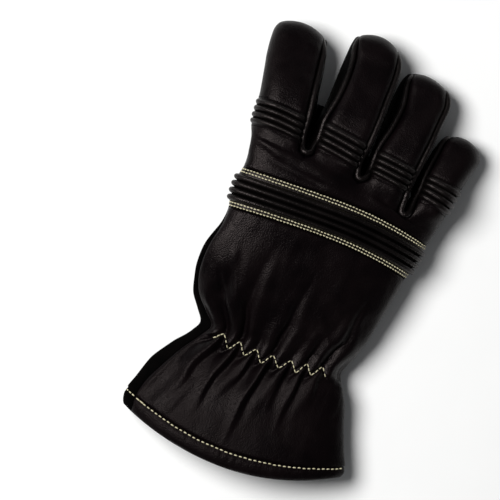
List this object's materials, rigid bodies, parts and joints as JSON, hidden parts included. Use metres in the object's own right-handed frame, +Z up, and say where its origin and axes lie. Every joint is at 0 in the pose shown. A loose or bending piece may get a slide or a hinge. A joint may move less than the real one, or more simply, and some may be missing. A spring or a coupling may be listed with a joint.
{
  "type": "firefighter glove",
  "caption": "Structural firefighting glove for the right hand: leather back with ribbed knuckles, suede palm, flared gauntlet cuff gathered at the wrist.",
  "frame": {"origin": "centre of the bounding box in plan, on the floor under the glove lying palm down", "axes": "+Y from the cuff to the fingertips, +X from the thumb side to the little finger, +Z up out of the back of the hand"},
  "size_m": [0.1874, 0.3376, 0.0668],
  "materials": {
    "leather": "smooth grain with a soft sheen",
    "suede": "napped, matt"
  },
  "bodies": {
    "root": {"back_upper": "leather", "knuckle_band": "leather", "back_lower": "leather", "palm": "suede", "palm_cuff": "suede", "front_index": "suede", "front_middle": "suede", "front_ring": "suede", "front_little": "suede", "thumb_back": "suede", "thumb_front": "suede", "hem_back": "leather", "hem_palm": "suede", "fourchette_index_middle": "leather", "fourchette_middle_ring": "leather", "fourchette_ring_little": "leather", "welt_index_middle": "leather", "welt_middle_ring": "leather", "welt_ring_little": "leather"}
  },
  "joints": []
}
